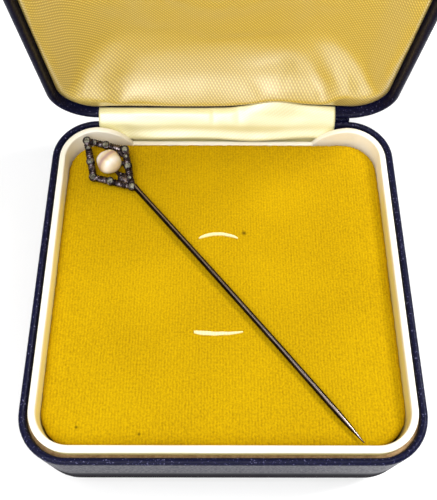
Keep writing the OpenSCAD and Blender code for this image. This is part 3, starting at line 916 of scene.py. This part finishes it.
bm.verts.index_update()
furthest = 0
for v, place in zip(bm.verts, settled(bm)):
    move = place - v.co
    furthest = max(furthest, move.length)
    v.co += move * LARGEST_MOVE / (LARGEST_MOVE + move.length)
print("furthest move of the satin before easing, mm:", round(furthest / MM, 2))

# %% [markdown]
# The satin's edge is turned over the card that carries it. The open edge is extruded twice: out
# to the wall, and then down behind it. Only now is the lining swung open with the lid.

# %% Turn the edge over, swing the lining open and put it in place
def extruded_edge(bm):
    """Extrudes the open edge of a sheet and gives back the new points."""
    grown = bmesh.ops.extrude_edge_only(bm, edges=[e for e in bm.edges if e.is_boundary])
    return [g for g in grown["geom"] if isinstance(g, bmesh.types.BMVert)]


for v in extruded_edge(bm):
    flat = v.co.xy
    v.co.xy = flat * ((flat.length + 0.45 * MM) / flat.length)
    v.co.z = mouth_z + 0.15 * MM
for v in extruded_edge(bm):
    v.co.z = mouth_z + 6 * MM
bmesh.ops.recalc_face_normals(bm, faces=bm.faces)
bmesh.ops.transform(bm, matrix=swing, verts=bm.verts)
lining = piece(bm, "satin_lining", lining_satin, "lid")
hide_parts("lid_lining")

# %% [markdown]
# ## The pin
# The pin's head is cut and cast silver: a lozenge of bars with twelve small stones in round
# collets, and a cup in the middle that carries the pearl. It is drawn flat in the head's own
# frame, with x to the shaft and z up from the collets, and then tilted and turned into its place
# in the corner of the pad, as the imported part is. Each stone is given by the side of the lozenge
# it sits on, its place along that side and its size. Two helpers make its forms: one spins a
# profile and one stretches a ball into a leaf.

# %% Place the head and its stones
HEAD_AT = Vector((-21.849, 22.688, 20.221)) * MM
head_turn = (Matrix.Translation(HEAD_AT) @ Matrix.Rotation(math.radians(-46.5), 4, "Z")
             @ Matrix.Rotation(math.radians(5.2), 4, "Y")
             @ Matrix.Rotation(math.radians(10.1), 4, "X"))
half_len, half_w = 6.65 * MM, 4.05 * MM
CORNERS = [Vector((-half_len, 0)), Vector((0, half_w)), Vector((half_len, 0)),
           Vector((0, -half_w))]
STONES = [(0, 0, 1), (0, 0.21, 0.62), (0, 0.5, 1), (1, 0, 1), (1, 0.19, 0.62), (1, 0.45, 1),
          (1, 0.77, 0.62), (2, 0, 1), (2, 0.56, 1), (3, 0, 1), (3, 0.42, 1), (3, 0.79, 0.62)]
STONE_R = 0.58 * MM
spots = [(CORNERS[side].lerp(CORNERS[(side + 1) % 4], share), STONE_R * size)
         for side, share, size in STONES]
print("collets:", len(spots))


def spun(bm, profile, at, steps=20):
    """Spins a profile of (radius, height) points about an upright axis through a place."""
    verts = [bm.verts.new((at.x + r, at.y, z)) for r, z in profile]
    edges = [bm.edges.new(pair) for pair in zip(verts, verts[1:])]
    bmesh.ops.spin(bm, geom=verts + edges, cent=(at.x, at.y, 0), axis=(0, 0, 1),
                   angle=math.tau, steps=steps, use_merge=True)


def leaf(bm, a, b, width, thick, z, sides=20):
    """A leaf-shaped bar from a to b: a ball stretched along the line and flattened."""
    way = b - a
    turn = math.atan2(way.y, way.x)
    size = Matrix.Diagonal((way.length / 2, width / 2, thick / 2, 1))
    place = (Matrix.Translation((*((a + b) / 2), z)) @ Matrix.Rotation(turn, 4, "Z") @ size)
    bmesh.ops.create_uvsphere(bm, u_segments=sides, v_segments=sides // 2 + 2, radius=1,
                              matrix=place)


# %% [markdown]
# From collet to collet runs a leaf-shaped bar, wrapped by narrower leaves that stand a little
# proud, as the ribs of the cast silver do. A collet is a spun cup with a thin rolled lip, and
# four small claws are pushed over its stone.

# %% Model the bars, the ribs and the collets
bm = bmesh.new()
for side in range(4):
    on_side = sorted([s for s, row in zip(spots, STONES) if row[0] == side],
                     key=lambda s: (s[0] - CORNERS[side]).length)
    stops = [s[0] for s in on_side] + [CORNERS[(side + 1) % 4]]
    for a, b in zip(stops, stops[1:]):
        reach = (b - a).normalized() * 0.15 * MM
        leaf(bm, a - reach, b + reach, 1.35 * MM, 0.9 * MM, -0.5 * MM)
        ribs = max(2, round((b - a).length / (0.42 * MM)))
        for k in range(1, ribs):
            at = a.lerp(b, k / ribs)
            along = (b - a).normalized() * 0.24 * MM
            leaf(bm, at - along, at + along, 1.5 * MM, 1.05 * MM, -0.48 * MM, 12)
for spot, r in spots:
    wall = 0.25 * MM
    spun(bm, [(r - 0.02 * MM, -0.7 * MM), (r + 0.03 * MM, 0.02 * MM), (r + 0.12 * MM, 0.06 * MM),
              (r + wall, -0.08 * MM), (r + wall * 0.9, -0.6 * MM), (r + wall * 0.5, -1.05 * MM),
              (0.3 * r, -1.1 * MM)], spot)
    for k in range(4):
        turn = math.radians(45 + 90 * k)
        at = spot + Vector((math.cos(turn), math.sin(turn))) * (r + 0.02 * MM)
        bmesh.ops.create_uvsphere(bm, u_segments=8, v_segments=6, radius=0.13 * MM,
                                  matrix=Matrix.Translation((*at, 0.08 * MM)))
print("faces in bars and collets:", len(bm.faces))

# %% [markdown]
# Below the pearl stands a thin cup on two arms, spun from two arcs about the pearl's centre. Thin
# leaves fill the lozenge at its shaft end and at one side, fine ridges run side by side over
# three of its corners, and one worn claw stands by the pearl on the shaft's side. All of it is
# soldered, so it is one piece.

# %% Add the cup, the leaves and the claw
origin = Vector((0, 0))
pearl_lift, pearl_r = 0.8 * MM, 2.4 * MM


def pearl_arc(radius, first, last, steps=6):
    """An arc's (radius, height) points about the pearl's centre, in degrees from straight up."""
    turns = [math.radians(first + (last - first) * k / steps) for k in range(steps + 1)]
    return [(radius * math.sin(t), pearl_lift + radius * math.cos(t)) for t in turns]


spun(bm, pearl_arc(pearl_r + 0.05 * MM, 180, 147) + pearl_arc(pearl_r + 0.25 * MM, 147, 180),
     origin, 28)
for a, b, width, thick, z in [((0.8, 0), (6.65, 0), 0.9, 0.7, -1.2),
                              ((0.4, 0.7), (2.3, 3.1), 0.9, 0.7, -1.2),
                              ((3.0, 0), (6.4, 0), 2.6, 0.4, -0.55),
                              ((0, 2.5), (0, 4.0), 2.8, 0.4, -0.55)]:
    leaf(bm, Vector(a) * MM, Vector(b) * MM, width * MM, thick * MM, z * MM)
for side, start_share in ((1, 0.62), (2, 0.86)):
    a, b = CORNERS[side].lerp(CORNERS[side + 1], start_share), CORNERS[side + 1]
    way = (b - a).normalized()
    out = Vector((way.y, -way.x)) * (-1 if side == 1 else 1)
    for k in range(3):
        shift = out * (0.3 * k - 0.35) * MM
        leaf(bm, a + shift, b + way * 0.3 * MM + shift, 0.42 * MM, 0.9 * MM, -0.4 * MM)
for k in range(3):
    shift = Vector((0, 1)) * (0.3 * k - 0.5) * MM
    leaf(bm, Vector((-1.2 * MM, half_w)) + shift, Vector((0.9 * MM, half_w)) + shift,
         0.42 * MM, 0.9 * MM, -0.4 * MM)
bmesh.ops.create_uvsphere(bm, u_segments=12, v_segments=8, radius=0.32 * MM,
                          matrix=Matrix.Translation((3.3 * MM, 0.2 * MM, -0.2 * MM)))
bmesh.ops.remove_doubles(bm, verts=bm.verts, dist=0.0005 * MM)
bmesh.ops.recalc_face_normals(bm, faces=bm.faces)
bmesh.ops.transform(bm, matrix=head_turn, verts=bm.verts)
head = piece(bm, "silver_head", silver, "box")

# %% [markdown]
# ## The shaft
# The shaft is drawn steel wire, about 1 mm thick, soldered under the head's last collet with a
# small swelling, and ground to a point over its last 6 mm. A profile in millimetres is spun
# about the shaft's own axis and then turned to run from the neck to the tip. Years of use have
# bowed it by a fifth of a millimetre. Two maps follow the wire: cut, for the drawn lines, and
# side, for the painted highlight along the top.

# %% Model the shaft
NECK = Vector((-17.0, 18.3, 19.134)) * MM
TIP = Vector((22.55, -29.45, 18.65)) * MM
run = TIP - NECK
length = run.length
bm = bmesh.new()
wire_r = 0.52
POINT_MM = 6
profile = [(0.0005, -0.35), (0.32, -0.3), (0.54, 0), (0.62, 0.5), (0.57, 1.1), (wire_r, 1.8)]
profile += [(wire_r, length / MM * k / 24) for k in range(1, 22)]
ground = length / MM - POINT_MM
profile += [(wire_r, ground), (0.46, ground + 1.5), (0.36, ground + 3), (0.22, ground + 4.6),
            (0.09, ground + 5.8), (0.0005, ground + POINT_MM)]
spun(bm, [(r * MM, z * MM) for r, z in profile if z <= ground or r < wire_r], Vector((0, 0)), 24)
bmesh.ops.remove_doubles(bm, verts=bm.verts, dist=0.002 * MM)
bmesh.ops.recalc_face_normals(bm, faces=bm.faces)
cut_map = bm.loops.layers.uv.new("cut")
side_map = bm.loops.layers.uv.new("side")
for face in bm.faces:
    for loop in face.loops:
        from_top = abs(math.atan2(loop.vert.co.x, loop.vert.co.y))
        loop[cut_map].uv = (from_top * 0.45 * MM, loop.vert.co.z)
        loop[side_map].uv = (from_top / math.pi, 0)
lay = Matrix.Translation(NECK) @ run.to_track_quat("Z", "Y").to_matrix().to_4x4()
bow = Vector((0.77, 0.64, 0)) * 0.2 * MM
for v in bm.verts:
    v.co = lay @ v.co + bow * math.sin(math.pi * min(1, max(0, v.co.z / length)))
shaft = piece(bm, "steel_shaft", steel, "box")
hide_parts("pin_mount")
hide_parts("pin_mount")
print("pin length, mm:", round((TIP - head_turn @ Vector((-half_len, 0, 0))).length / MM, 1))

# %% [markdown]
# ## The pearl
# The pearl is a natural one: a squarish oval with soft, uneven swellings. A ball is squared a
# little along the head's diagonals, moved by a slow noise and given a shallow groove over its
# top.

# %% Model the pearl
bm = bmesh.new()
bmesh.ops.create_uvsphere(bm, u_segments=64, v_segments=40, radius=pearl_r)
SQUARENESS = 2.3
for v in bm.verts:
    way = v.co.normalized()
    x, y, z = (abs(c) for c in Matrix.Rotation(math.radians(20), 3, "Z") @ way)
    square = (x ** SQUARENESS + y ** SQUARENESS + z ** 2) ** (-0.5)
    lump = 0.05 * noise.noise(way * 1.6 + Vector((4, 2, 7)))
    groove = math.exp(-((way.y * 0.97 - way.x * 0.22 + 0.05) / 0.16) ** 2) * max(0, way.z)
    size = min(1.03, 0.96 * square ** 0.8 + lump) - 0.035 * groove
    v.co = Vector((way.x * 0.95, way.y * 0.99, way.z * 0.96)) * pearl_r * size
bmesh.ops.translate(bm, vec=(0.28 * MM, 0.08 * MM, pearl_lift), verts=bm.verts)
bmesh.ops.transform(bm, matrix=head_turn, verts=bm.verts)
pearl = piece(bm, "baroque_pearl", nacre, "box")
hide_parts("pearl")
